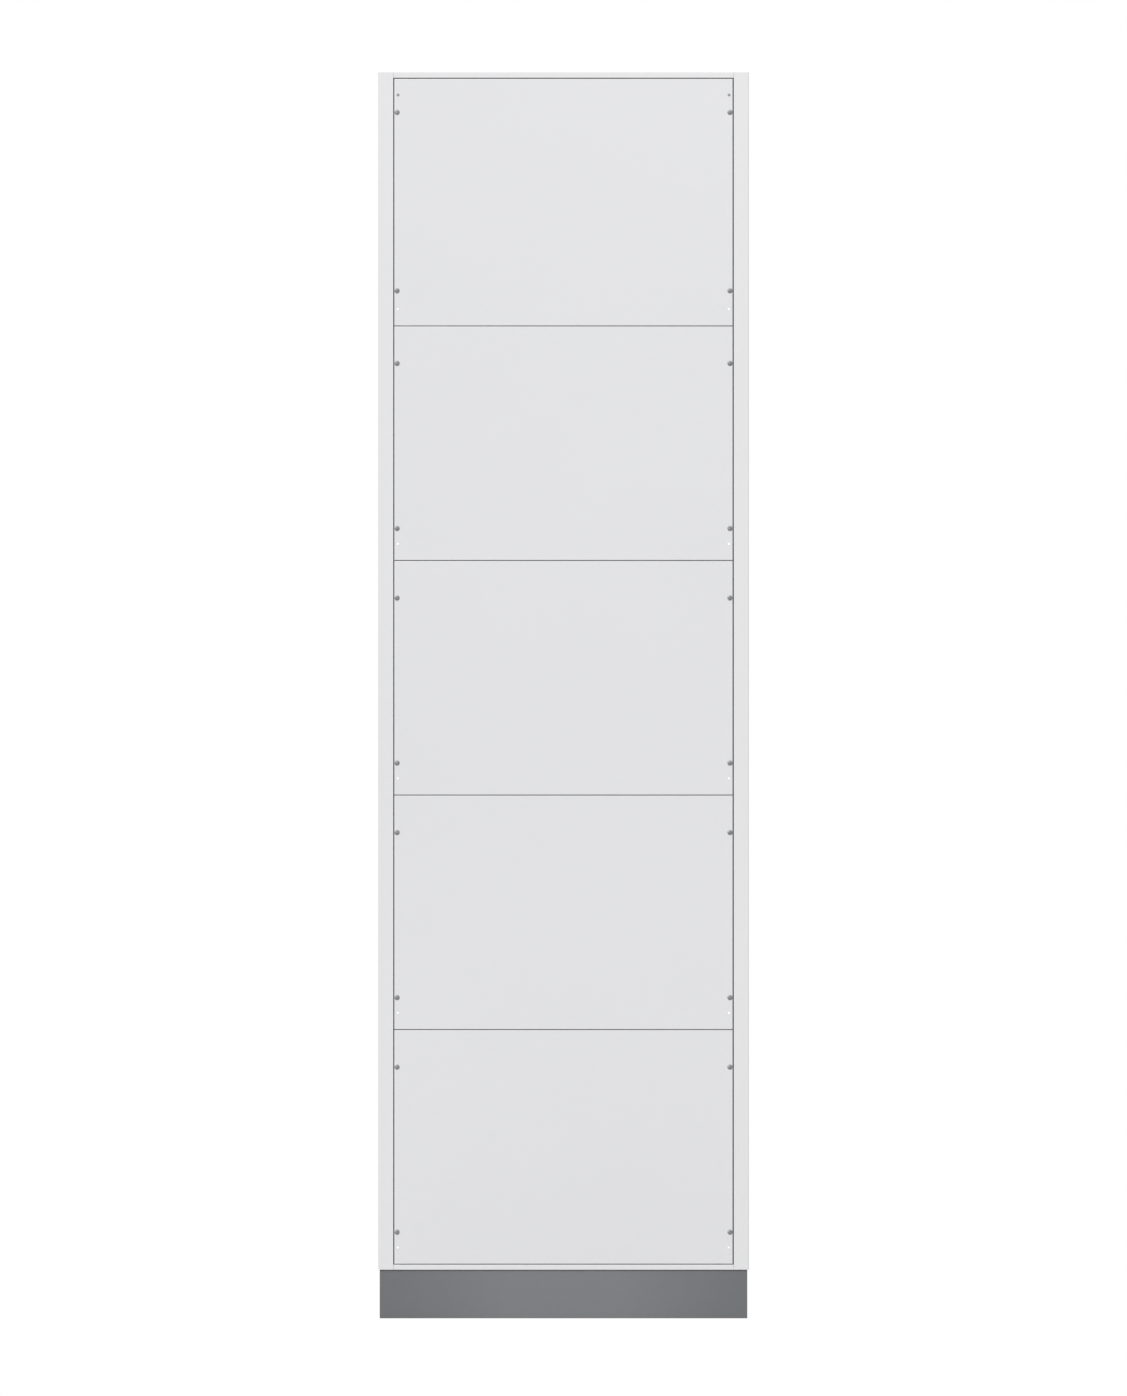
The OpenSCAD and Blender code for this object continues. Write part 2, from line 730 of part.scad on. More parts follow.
module hook_pins() {
    inner_w = lock_case_w - 2 * lock_case_t;
    color(zinc) for (k = [1 : door_count])
        rod_x(hook_pin_d, lock_x - inner_w / 2, hook_y, door_middle(k), inner_w);
}

// Latch hook, drawn latched round the crossbar and then turned up to its released position
module lock_hook(k) {
    throat = strike_bar_d / 2 + 0.8;
    nose_w = 3.8;
    color("lightsteelblue") translate([lock_x, hook_y, door_middle(k)]) rotate([-hook_swing, 0, 0])
        difference() {
            translate([-hook_t / 2, 0, 0]) rotate([90, 0, 90])
                linear_extrude(hook_t) {
                    circle(hook_boss_r);
                    polygon([
                        [-hook_reach - throat - nose_w, -throat + 0.8], [-hook_reach - throat, -throat],
                        [-hook_reach - throat, throat], [0, throat], [hook_boss_r * 0.7, hook_boss_r * 0.7],
                        [0, throat + 6], [-hook_reach - throat - nose_w + 2, throat + 6],
                        [-hook_reach - throat - nose_w, throat + 4]]);
                    translate([-2.5, -15]) square([5, 15]);
                }
            rod_x(hook_pin_d + 2 * run_fit, -hook_t, 0, 0, 2 * hook_t);
        }
}

// Barrels that guide the ejectors
module ejector_barrels() {
    end_wall = 2;
    l = lock_back - lock_front;
    color(black) for (k = [1 : door_count]) translate([lock_x, lock_front, door_middle(k) - ejector_drop])
        difference() {
            rod_y(barrel_d, 0, 0, 0, l);
            rod_y(ejector_d + 2 * slide_fit, 0, -bite, 0, l - end_wall + bite);
        }
}

// Ejector: a shaft in its barrel and a tip that pushes on the strike
module ejector(k) {
    tip_l = lock_front - seam - ejector_tip_y;
    color("gainsboro") translate([lock_x, ejector_tip_y, door_middle(k) - ejector_drop]) {
        rod_y(ejector_tip_d, 0, 1, 0, tip_l - 1);
        rotate([-90, 0, 0]) cylinder(d1 = ejector_tip_d - 2, d2 = ejector_tip_d, h = 1);
        rod_y(ejector_d, 0, tip_l, 0, ejector_shaft_l);
    }
}

// ---------------------------------------------------------------- electrics

board_t = 1.6;
board_d = 90;
board_h = 110;
standoff = 6;
board_face = inner_x - standoff - board_t;
board_y = post_y + 34;
board_z = door_bottom(1) + 25;

// Lock controller on standoffs on the right side panel
module control_board() {
    chips = [[20, 60, 22, 22, 3], [55, 65, 14, 14, 2.5], [20, 20, 12, 30, 9], [60, 20, 18, 12, 12]];
    color("darkgreen") {
        translate([board_face, board_y, board_z]) cube([board_t, board_d, board_h]);
        for (y = [6, board_d - 6], z = [6, board_h - 6])
            rod_x(6, board_face + board_t, board_y + y, board_z + z, standoff);
        for (c = chips)
            translate([board_face - c[4], board_y + c[0], board_z + c[1]]) cube([c[4], c[2], c[3]]);
    }
}

trunk_x = lock_x + 1;
trunk_y = lock_front + lock_case_d + 36;
trunk_d = 7;
branch_d = 4.4;

// Harness in the duct: a trunk, a branch to each lock and a branch to the controller
module wiring_harness() {
    bottom = door_middle(5);
    top = door_middle(1);
    case_back = lock_front + lock_case_d;
    board_branch_z = board_z + board_h / 2 - 15;
    color(black) {
        translate([trunk_x, trunk_y, bottom]) cylinder(d = trunk_d, h = top - bottom);
        for (z = [bottom, top]) translate([trunk_x, trunk_y, z]) sphere(d = trunk_d);
        for (k = [1 : door_count])
            rod_y(branch_d, trunk_x, case_back, door_middle(k), trunk_y - case_back);
        rod_x(branch_d, trunk_x, trunk_y, board_branch_z, board_face - trunk_x);
    }
}

grommet_seat_d = grommet_bore + 8;
grommet_y = (post_y + duct_back) / 2;
grommet_z = door_top(1) - 85;

// Grommet where the supply and data cables enter from the next column
module cable_grommet() {
    inner_l = 5;
    color(black) difference() {
        union() {
            rod_x(grommet_seat_d, inner_x - inner_l, grommet_y, grommet_z, inner_l + sheet);
            rod_x(grommet_seat_d + 7, inner_x - 2.5, grommet_y, grommet_z, 2.5);
        }
        rod_x(grommet_bore, inner_x - inner_l - bite, grommet_y, grommet_z, inner_l + sheet + 2 * bite);
    }
}

side_panel_left();
side_panel_right();
roof_panel();
floor_panel();
back_panel();
plinth();
hinge_post();
lock_post();
duct_cover();
shelf(1);  // shelf_1
shelf(2);  // shelf_2
shelf(3);  // shelf_3
shelf(4);  // shelf_4
hinge_brackets();
hinge_washers();
lock_cases();
lock_solenoids();
hook_pins();
ejector_barrels();
control_board();
wiring_harness();
cable_grommet();
levelling_feet();
back_rivets();
door_buffers();
door_panel(1);  // door_1_panel
door_stiffeners(1);  // door_1_stiffeners
door_rivets(1);  // door_1_rivets
door_hinge_leaves(1);  // door_1_hinge_leaves
door_strike(1);  // door_1_strike
door_panel(2);  // door_2_panel
door_stiffeners(2);  // door_2_stiffeners
door_rivets(2);  // door_2_rivets
door_hinge_leaves(2);  // door_2_hinge_leaves
door_strike(2);  // door_2_strike
door_panel(3);  // door_3_panel
door_stiffeners(3);  // door_3_stiffeners
door_rivets(3);  // door_3_rivets
door_hinge_leaves(3);  // door_3_hinge_leaves
door_strike(3);  // door_3_strike
door_panel(4);  // door_4_panel
door_stiffeners(4);  // door_4_stiffeners
door_rivets(4);  // door_4_rivets
door_hinge_leaves(4);  // door_4_hinge_leaves
door_strike(4);  // door_4_strike
door_panel(5);  // door_5_panel
door_stiffeners(5);  // door_5_stiffeners
door_rivets(5);  // door_5_rivets
door_hinge_leaves(5);  // door_5_hinge_leaves
door_strike(5);  // door_5_strike
lock_hook(1);  // lock_hook_1
lock_hook(2);  // lock_hook_2
lock_hook(3);  // lock_hook_3
lock_hook(4);  // lock_hook_4
lock_hook(5);  // lock_hook_5
ejector(1);  // ejector_1
ejector(2);  // ejector_2
ejector(3);  // ejector_3
ejector(4);  // ejector_4
ejector(5);  // ejector_5
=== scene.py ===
"""Parcel locker column: materials, fine geometry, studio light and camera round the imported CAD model."""

import json
import math

import bmesh
import bpy
from mathutils import Matrix, Vector


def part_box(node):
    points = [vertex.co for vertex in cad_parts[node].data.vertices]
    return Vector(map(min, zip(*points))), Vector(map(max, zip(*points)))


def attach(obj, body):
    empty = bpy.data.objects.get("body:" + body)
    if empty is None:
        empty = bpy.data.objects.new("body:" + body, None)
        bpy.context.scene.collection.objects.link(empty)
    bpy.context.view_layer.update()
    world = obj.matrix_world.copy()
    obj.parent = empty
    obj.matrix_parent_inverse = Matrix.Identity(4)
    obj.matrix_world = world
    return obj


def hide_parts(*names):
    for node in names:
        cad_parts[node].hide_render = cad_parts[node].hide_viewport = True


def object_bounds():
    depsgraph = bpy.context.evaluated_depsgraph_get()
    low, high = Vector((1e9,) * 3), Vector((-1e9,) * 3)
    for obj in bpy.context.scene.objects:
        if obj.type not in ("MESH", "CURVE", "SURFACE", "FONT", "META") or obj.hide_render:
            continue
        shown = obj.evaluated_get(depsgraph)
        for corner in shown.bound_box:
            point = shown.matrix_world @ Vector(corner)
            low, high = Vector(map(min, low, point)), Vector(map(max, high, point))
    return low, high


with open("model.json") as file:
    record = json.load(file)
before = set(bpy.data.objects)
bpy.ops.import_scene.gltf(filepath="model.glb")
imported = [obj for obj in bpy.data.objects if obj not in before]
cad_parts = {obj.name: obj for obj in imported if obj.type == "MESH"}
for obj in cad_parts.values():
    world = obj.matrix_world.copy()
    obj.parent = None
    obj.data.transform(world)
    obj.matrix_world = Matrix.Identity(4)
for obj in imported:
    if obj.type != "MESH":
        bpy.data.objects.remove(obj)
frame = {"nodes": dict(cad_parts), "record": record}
cad_low, cad_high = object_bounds()
nodes = frame["nodes"]
slot_of = {s["node"]: s["material_slot"] for s in frame["record"]["subparts"]}
DOORS = range(1, 6)
MM = 0.001
RIVET_HEAD_R = 4 * MM
SPRING_R = 2.9 * MM
WIRE_R = 0.45 * MM
END_WALL = 2 * MM  # closed end of an ejector's barrel
STRIKE_PLATE_BACK = 14.8 * MM  # from a strike's front to the back face of its plate

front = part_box("side_panel_left")[0].y
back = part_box("back_panel")[1].y
half_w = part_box("side_panel_right")[1].x
post_low, post_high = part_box("hinge_post")
rivet_low_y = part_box("door_1_rivets")[0].y


# ---------------------------------------------------------------- node helpers


class Shader:
    """A Principled material whose procedural nodes are added one call at a time."""

    def __init__(self, name, color, roughness, metallic=0.0, specular=0.5):
        self.mat = bpy.data.materials.new(name)
        self.mat.use_nodes = True
        self.tree = self.mat.node_tree
        self.bsdf = self.tree.nodes["Principled BSDF"]
        self.bsdf.inputs["Metallic"].default_value = metallic
        self.bsdf.inputs["Specular IOR Level"].default_value = specular
        self.coords = self.tree.nodes.new("ShaderNodeTexCoord").outputs["Object"]
        self.color = self.rgb(color)
        self.roughness = roughness
        self.bsdf.inputs["Base Color"].default_value = (*color, 1)
        self.bsdf.inputs["Roughness"].default_value = roughness
        self.normal = None

    def new(self, kind, **values):
        node = self.tree.nodes.new(kind)
        for key, value in values.items():
            setattr(node, key, value)
        return node

    def link(self, a, b):
        self.tree.links.new(a, b)

    def rgb(self, color):
        node = self.new("ShaderNodeRGB")
        node.outputs[0].default_value = (*color, 1)
        return node.outputs[0]

    def noise(self, scale, detail=2.0, roughness=0.5, stretch=(1, 1, 1)):
        """Noise from 0 to 1 with `scale` features a metre, longer along the axes whose stretch is under 1."""
        mapping = self.new("ShaderNodeMapping")
        mapping.inputs["Scale"].default_value = stretch
        self.link(self.coords, mapping.inputs["Vector"])
        node = self.new("ShaderNodeTexNoise")
        node.inputs["Scale"].default_value = scale
        node.inputs["Detail"].default_value = detail
        node.inputs["Roughness"].default_value = roughness
        self.link(mapping.outputs[0], node.inputs["Vector"])
        return node.outputs["Fac"]

    def from_middle(self, half):
        """Distance from the middle plane, as a share of `half` metres."""
        split = self.new("ShaderNodeSeparateXYZ")
        self.link(self.coords, split.inputs[0])
        away = self.new("ShaderNodeMath", operation="ABSOLUTE")
        self.link(split.outputs["X"], away.inputs[0])
        share = self.new("ShaderNodeMath", operation="DIVIDE")
        self.link(away.outputs[0], share.inputs[0])
        share.inputs[1].default_value = half
        return share.outputs[0]

    def ramp(self, fac, low, high, a=(0, 0, 0), b=(1, 1, 1)):
        """Colour a below `low`, colour b above `high`."""
        node = self.new("ShaderNodeValToRGB")
        node.color_ramp.elements[0].position = low
        node.color_ramp.elements[1].position = high
        node.color_ramp.elements[0].color = (*a, 1)
        node.color_ramp.elements[1].color = (*b, 1)
        self.link(fac, node.inputs[0])
        return node.outputs[0]

    def tint(self, mask, color, blend="MIX"):
        """Lays `color` over the base colour where the mask is 1."""
        node = self.new("ShaderNodeMix", data_type="RGBA", blend_type=blend)
        self.link(mask, node.inputs["Factor"])
        self.link(self.color, node.inputs["A"])
        node.inputs["B"].default_value = (*color, 1)
        self.color = node.outputs["Result"]
        self.link(self.color, self.bsdf.inputs["Base Color"])

    def vary_roughness(self, fac, low, high):
        node = self.new("ShaderNodeMapRange")
        node.inputs["To Min"].default_value = low
        node.inputs["To Max"].default_value = high
        self.link(fac, node.inputs["Value"])
        self.link(node.outputs[0], self.bsdf.inputs["Roughness"])

    def bump(self, fac, depth, strength=1.0):
        """Adds a bump `depth` metres deep."""
        node = self.new("ShaderNodeBump")
        node.inputs["Strength"].default_value = strength
        node.inputs["Distance"].default_value = depth
        self.link(fac, node.inputs["Height"])
        if self.normal:
            self.link(self.normal, node.inputs["Normal"])
        self.normal = node.outputs[0]
        self.link(self.normal, self.bsdf.inputs["Normal"])


def scaled(color, factor):
    return tuple(min(1.0, c * factor) for c in color)


# ---------------------------------------------------------------- materials


def powder_coat(name, color, roughness, peel, ends=1.0):
    """Textured powder coat: fine grain over a slow orange peel, with faint drifts of tone and gloss.

    A last argument under 1 darkens it towards both sides of the locker. This is painted reflection: the plinth's
    middle looks paler, as under a light in front of it.
    """
    s = Shader(name, color, roughness)
    s.tint(s.ramp(s.noise(2.2, 3), 0.35, 0.7), scaled(color, 0.985))
    s.tint(s.ramp(s.noise(900, 1), 0.58, 0.8), scaled(color, 0.975))
    if ends < 1:
        # Painted reflection: the colour darkens towards both sides, which leaves a paler middle.
        s.tint(s.ramp(s.from_middle(cad_high.x), 0.3, 1.0), (ends, ends, ends), "MULTIPLY")
    s.vary_roughness(s.noise(5, 3), roughness - 0.04, roughness + 0.06)
    s.bump(s.noise(1300, 2), 0.00002 * peel)
    s.bump(s.noise(240, 1), 0.00005 * peel)
    return s.mat


def zinc_plate(name="zinc_plate"):
    """Bright zinc: cloudy passivation tints, fine rolling lines and a few dull spots."""
    color = (0.58, 0.59, 0.58)
    s = Shader(name, color, 0.34, metallic=1.0)
    s.tint(s.ramp(s.noise(60, 4), 0.4, 0.62), (0.60, 0.60, 0.50))
    s.tint(s.ramp(s.noise(85, 3), 0.5, 0.7), (0.46, 0.50, 0.56))
    s.vary_roughness(s.noise(140, 4), 0.26, 0.44)
    s.bump(s.noise(900, 2, stretch=(1, 1, 0.08)), 0.00002)
    return s.mat


def rivet_steel(name, color, roughness):
    """Steel of a set rivet: burnished by the tool, so brighter and duller patches alternate."""
    s = Shader(name, color, roughness, metallic=0.85)
    s.tint(s.ramp(s.noise(700, 3), 0.45, 0.7), scaled(color, 0.72))
    s.vary_roughness(s.noise(500, 3), roughness - 0.06, roughness + 0.1)
    s.bump(s.noise(1500, 2), 0.00002)
    return s.mat


def ground_steel(name="hook_steel"):
    """Stamped hook, ground across its faces."""
    color = (0.50, 0.51, 0.53)
    s = Shader(name, color, 0.3, metallic=1.0)
    s.tint(s.ramp(s.noise(300, 3), 0.45, 0.75), scaled(color, 0.8))
    s.vary_roughness(s.noise(250, 3), 0.22, 0.4)
    s.bump(s.noise(2200, 2, stretch=(1, 0.06, 1)), 0.00002)
    return s.mat


def moulded(name, color, roughness, grain=1.0):
    """Moulded plastic with a fine spark-eroded grain."""
    s = Shader(name, color, roughness)
    s.tint(s.ramp(s.noise(30, 3), 0.4, 0.7), scaled(color, 1.15))
    s.vary_roughness(s.noise(90, 2), roughness - 0.05, roughness + 0.08)
    s.bump(s.noise(1800, 2), 0.00003 * grain)
    return s.mat


def rubber(name="black_rubber"):
    """Moulded rubber: matt, a little dusty where it is not handled."""
    color = (0.022, 0.022, 0.022)
    s = Shader(name, color, 0.72, specular=0.3)
    s.tint(s.ramp(s.noise(120, 4), 0.5, 0.8), (0.06, 0.058, 0.055))
    s.vary_roughness(s.noise(200, 2), 0.66, 0.82)
    s.bump(s.noise(1200, 3), 0.00004)
    return s.mat


def coil(name="coil_steel"):
    """Tape-wound coil: narrow overlapping turns of dark tape."""
    color = (0.05, 0.055, 0.07)
    s = Shader(name, color, 0.42)
    wave = s.new("ShaderNodeTexWave", wave_type="BANDS", bands_direction="Y")
    wave.inputs["Scale"].default_value = 90
    wave.inputs["Distortion"].default_value = 0.6
    s.link(s.coords, wave.inputs["Vector"])
    s.tint(s.ramp(wave.outputs["Fac"], 0.4, 0.9), (0.10, 0.10, 0.12))
    s.vary_roughness(s.noise(200, 2), 0.36, 0.5)
    s.bump(wave.outputs["Fac"], 0.0002)
    return s.mat


def circuit_board(name="circuit_board"):
    """Solder mask with tracks in a lighter green; what stands off the board is dark package plastic."""
    low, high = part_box("control_board")
    s = Shader(name, (0.012, 0.10, 0.035), 0.28)
    tracks = s.new("ShaderNodeTexBrick")
    tracks.inputs["Scale"].default_value = 90
    tracks.inputs["Mortar Size"].default_value = 0.04
    mapping = s.new("ShaderNodeMapping")
    mapping.inputs["Rotation"].default_value = (0, math.radians(90), 0)
    s.link(s.coords, mapping.inputs["Vector"])
    s.link(mapping.outputs[0], tracks.inputs["Vector"])
    s.tint(s.ramp(tracks.outputs["Fac"], 0.3, 0.7), (0.03, 0.22, 0.08))
    split = s.new("ShaderNodeSeparateXYZ")
    s.link(s.coords, split.inputs[0])
    board_face = high.x - 7.6 * MM
    package = s.new("ShaderNodeMath", operation="LESS_THAN")
    s.link(split.outputs["X"], package.inputs[0])
    package.inputs[1].default_value = board_face - 0.3 * MM
    s.tint(package.outputs[0], (0.02, 0.02, 0.022))
    s.vary_roughness(s.noise(150, 2), 0.24, 0.42)
    s.bump(s.noise(900, 2), 0.00003)
    return s.mat


def cable_sheath(name="cable_sheath"):
    """Bundle in a spiral wrap: a slow helix of edges along the run."""
    s = Shader(name, (0.02, 0.02, 0.022), 0.5)
    wave = s.new("ShaderNodeTexWave", wave_type="BANDS", bands_direction="Z", wave_profile="SAW")
    wave.inputs["Scale"].default_value = 45
    wave.inputs["Distortion"].default_value = 0.3
    s.link(s.coords, wave.inputs["Vector"])
    s.tint(s.ramp(wave.outputs["Fac"], 0.85, 0.98), (0.06, 0.06, 0.062))
    s.vary_roughness(s.noise(200, 2), 0.42, 0.6)
    s.bump(wave.outputs["Fac"], 0.0004)
    return s.mat


LIGHT_GREY = (0.604, 0.604, 0.612)
DOOR_GREY = (0.592, 0.593, 0.607)
PLINTH_GREY = (0.146, 0.150, 0.158)

materials = {
    "carcass_paint": powder_coat("carcass_paint", LIGHT_GREY, 0.38, 1.0),
    "door_paint": powder_coat("door_paint", DOOR_GREY, 0.36, 1.0),
    # The plinth's darker ends and paler middle are painted reflection.
    "plinth_paint": powder_coat("plinth_paint", PLINTH_GREY, 0.5, 1.2, ends=0.76),
    "zinc_plate": zinc_plate(),
    "dark_rivet": rivet_steel("dark_rivet", (0.27, 0.27, 0.275), 0.5),
    "hook_steel": ground_steel(),
    "black_plastic": moulded("black_plastic", (0.028, 0.028, 0.03), 0.5),
    "white_nylon": moulded("white_nylon", (0.70, 0.70, 0.685), 0.42, 0.5),
    "coil_steel": coil(),
    "circuit_board": circuit_board(),
    "cable_sheath": cable_sheath(),
    "black_rubber": rubber(),
}
mandrel_steel = rivet_steel("mandrel_steel", (0.46, 0.46, 0.465), 0.45)
# Finishes of the door caps: painted shade in grey and painted highlight in white.
painted_shade_nylon = moulded("painted_shade_nylon", (0.22, 0.22, 0.225), 0.5, 0.5)
painted_highlight_nylon = moulded("painted_highlight_nylon", (0.84, 0.84, 0.83), 0.36, 0.5)
bright_rivet = rivet_steel("bright_rivet", (0.55, 0.56, 0.56), 0.36)
spring_steel = rivet_steel("spring_steel", (0.30, 0.30, 0.31), 0.3)

SHARP = {"wiring_harness": 0.0, "hinge_washers": 0.1, "control_board": 0.15}
for name, obj in nodes.items():
    obj.data.materials.clear()
    obj.data.materials.append(materials[slot_of[name]])
    weld = obj.modifiers.new("weld", "WELD")
    weld.merge_threshold = 0.000005
    flat = obj.modifiers.new("flat", "DECIMATE")
    flat.decimate_type = "DISSOLVE"
    flat.angle_limit = math.radians(0.1)
    width = SHARP.get(name, 0.25)
    if width:
        bevel = obj.modifiers.new("bevel", "BEVEL")
        bevel.width = width * MM
        bevel.segments = 2
        bevel.limit_method = "ANGLE"
        bevel.angle_limit = math.radians(40)
        bevel.harden_normals = True
    for polygon in obj.data.polygons:
        polygon.use_smooth = True
    smooth = obj.modifiers.new("normals", "WEIGHTED_NORMAL")
    smooth.keep_sharp = True


# ---------------------------------------------------------------- mesh helpers


def add_piece(name, bm, body, slot, *finishes, smooth=True):
    """Makes a mesh piece from bm, gives it its materials and lets it ride on a CAD body."""
    bmesh.ops.recalc_face_normals(bm, faces=bm.faces)
    mesh = bpy.data.meshes.new(name)
    bm.to_mesh(mesh)
    bm.free()
    for polygon in mesh.polygons:
        polygon.use_smooth = smooth
    piece = bpy.data.objects.new(name, mesh)
    bpy.context.scene.collection.objects.link(piece)
    for finish in finishes or (materials[slot],):
        mesh.materials.append(finish)
    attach(piece, body)
    return piece


def facing(place, direction):
    """Places a shape drawn with its axis along +Z, so that the axis runs along `direction` from `place`."""
    turn = Vector(direction).to_track_quat("Z", "Y").to_matrix().to_4x4()
    return Matrix.Translation(place) @ turn


def lathe(bm, profile, matrix, steps=32, finish=0, lobes=None):
    """Turns (radius, height) points round the axis; `lobes` maps a point's number to the depth of its six lobes."""
    rings = []
    for n, (radius, height) in enumerate(profile):
        depth = (lobes or {}).get(n, 0.0)
        ring = []
        for i in range(steps if radius > 0 else 1):
            angle = 2 * math.pi * i / steps
            r = radius + depth * math.cos(6 * angle)
            ring.append(bm.verts.new(matrix @ Vector((r * math.cos(angle), r * math.sin(angle), height))))
        rings.append(ring)
    for low, high in zip(rings, rings[1:]):
        for i in range(steps):
            j = (i + 1) % steps
            corners = [low[i % len(low)], low[j % len(low)], high[j % len(high)], high[i % len(high)]]
            face = bm.faces.new(list(dict.fromkeys(corners)))
            face.material_index = finish


def tube(bm, path, radius, sides=10):
    """Sweeps a round section along a list of points, with closed ends."""
    rings = []
    side = None
    for i, point in enumerate(path):
        ahead = path[min(i + 1, len(path) - 1)] - path[max(i - 1, 0)]
        ahead.normalize()
        if side is None:
            side = ahead.orthogonal().normalized()
        side = (side - ahead * side.dot(ahead)).normalized()
        across = ahead.cross(side)
        rings.append([bm.verts.new(point + radius * (math.cos(a) * side + math.sin(a) * across))
                      for a in (2 * math.pi * n / sides for n in range(sides))])
    for low, high in zip(rings, rings[1:]):
        for i in range(sides):
            j = (i + 1) % sides
            bm.faces.new([low[i], low[j], high[j], high[i]])
    bm.faces.new(rings[0])
    bm.faces.new(rings[-1])


# ---------------------------------------------------------------- rivets and screws


def blind_rivet(bm, place, direction):
    """Set blind rivet: a low domed head on a thin flange, a rolled recess and the broken mandrel inside it."""
    head = RIVET_HEAD_R
    flange = 0.22 * MM
    height = front - rivet_low_y
    profile = [(head, 0), (head, flange)]
    for i in range(1, 9):
        turn = math.radians(8 + 9 * i)
        profile.append((head * math.cos(turn) + 0.25 * MM, flange + (height - 0.24 * MM) * math.sin(turn)))
    rim = 1.30 * MM
    profile += [(rim, height), (1.12 * MM, height - 0.06 * MM), (1.06 * MM, height - 0.5 * MM)]
    lathe(bm, profile, facing(place, direction), steps=40)
    stub = [(1.02 * MM, height - 0.62 * MM), (0.98 * MM, height - 0.34 * MM), (0.72 * MM, height - 0.22 * MM),
            (0.35 * MM, height - 0.27 * MM), (0, height - 0.20 * MM)]
    lathe(bm, stub, facing(place, direction), steps=24, finish=1)
    tail = [(2.0 * MM, 0), (2.0 * MM, -2.2 * MM), (2.6 * MM, -2.6 * MM), (2.55 * MM, -3.6 * MM),
            (1.9 * MM, -4.1 * MM), (0, -4.15 * MM)]
    lathe(bm, tail, facing(place, direction), steps=24)


def rivets():
    """Rivets of the doors and of the back panel, at the places of the CAD rivets' heads."""
    head = Vector((RIVET_HEAD_R, 0, RIVET_HEAD_R))
    for k in DOORS:
        low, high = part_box(f"door_{k}_rivets")
        bm = bmesh.new()
        for x in (low.x + head.x, high.x - head.x):
            for z in (low.z + head.z, high.z - head.z):
                blind_rivet(bm, (x, front, z), (0, -1, 0))
        piece = add_piece(f"door_{k}_blind_rivets", bm, f"door_{k}", "dark_rivet", materials["dark_rivet"],
                          mandrel_steel)
        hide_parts(f"door_{k}_rivets")
    low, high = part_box("back_rivets")
    columns = (low.x + head.x, high.x - head.x)
    rows = (low.z + head.z, high.z - head.z)
    margin = 30 * MM
    count = 9
    step = (post_high.z - post_low.z - 2 * margin) / (count - 1)
    places = [(x, post_low.z + margin + i * step) for x in columns for i in range(count)]
    places += [(x, z) for x in (-half_w / 2, 0, half_w / 2) for z in rows]
    bm = bmesh.new()
    for x, z in places:
        blind_rivet(bm, (x, back, z), (0, 1, 0))
    piece = add_piece("back_blind_rivets", bm, "carcass", "zinc_plate", bright_rivet, mandrel_steel)
    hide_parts("back_rivets")


def painted_highlight_and_shade_caps():
    """Small caps on the raised marks near the door corners, whose colour is painted light: white for the highlight
    a mark catches, and grey at the top of door 1 for the shade under it.
    """
    in_edge = 6 * MM
    rise = 26 * MM
    for k in DOORS:
        low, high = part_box(f"door_{k}_panel")
        # The white caps are painted highlights of the marks. The larger grey ones at the top of door 1 are painted
        # shade.
        places = {(x, low.z + rise): 0 for x in (low.x + in_edge, high.x - in_edge)}
        if k == 1:
            places.update({(x, high.z - rise): 1 for x in (low.x + in_edge, high.x - in_edge)})
        bm = bmesh.new()
        for (x, z), finish in places.items():
            r = (1.7 + 0.5 * finish) * MM
            profile = [(r, 0), (r, 0.62 * MM), (r - 0.08 * MM, 0.74 * MM), (r - 0.25 * MM, 0.82 * MM),
                       (0.6 * r, 0.90 * MM), (0.3 * r, 0.94 * MM), (0, 0.95 * MM)]
            lathe(bm, profile, facing((x, front, z), (0, -1, 0)), steps=32, finish=finish)
        add_piece(f"door_{k}_caps", bm, f"door_{k}", "white_nylon", painted_highlight_nylon, painted_shade_nylon)


def screw(bm, place, direction, head_d, head_h):
    """Pan-head screw with a six-lobed recess."""
    r = head_d / 2
    recess = 0.42 * r
    profile = [(r, 0), (r, 0.3 * head_h)]
    for i in range(1, 6):
        turn = math.radians(15 * i)
        profile.append((r * (0.55 + 0.45 * math.cos(turn)), head_h * (0.3 + 0.7 * math.sin(turn))))
    first = len(profile)
    profile += [(recess * 1.06, head_h), (recess, head_h - 0.1 * MM), (recess * 0.95, 0.35 * head_h),
                (0, 0.3 * head_h)]
    lobes = {first: 0.1 * recess, first + 1: 0.14 * recess, first + 2: 0.14 * recess}
    lathe(bm, profile, facing(place, direction), steps=48, lobes=lobes)


def screws():
    """Screws of the duct cover and of the strikes."""
    cover_low, cover_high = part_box("duct_cover")
    y = (cover_low.y + cover_high.y) / 2
    bm = bmesh.new()
    for k in DOORS:
        low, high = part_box(f"door_{k}_panel")
        for share in (0.3, 0.7):
            for away in (-40 * MM, 40 * MM):
                screw(bm, (cover_low.x, y + away, low.z + share * (high.z - low.z)), (-1, 0, 0), 7 * MM, 2.2 * MM)
    add_piece("duct_cover_screws", bm, "carcass", "zinc_plate")
    for k in DOORS:
        low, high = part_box(f"door_{k}_strike")
        plate_back = low.y + STRIKE_PLATE_BACK
        bm = bmesh.new()
        for z in (low.z + 5.5 * MM, high.z - 6 * MM):
            screw(bm, (low.x + 4.5 * MM, plate_back, z), (0, 1, 0), 5.6 * MM, 1.8 * MM)
        add_piece(f"door_{k}_strike_screws", bm, f"door_{k}", "zinc_plate")


# ---------------------------------------------------------------- springs


def helix(centre, axis, radius, length, turns, per_turn=20):
    """Points of a helix along `axis` from `centre`; its first and last turn lie flat."""
    matrix = facing(centre, axis)
    points = []
    total = int(turns * per_turn)
    for i in range(total + 1):
        turn = i / per_turn
        rise = min(max((turn - 1) / (turns - 2), 0), 1)
        angle = 2 * math.pi * turn
        points.append(matrix @ Vector((radius * math.cos(angle), radius * math.sin(angle), rise * length)))
    return points


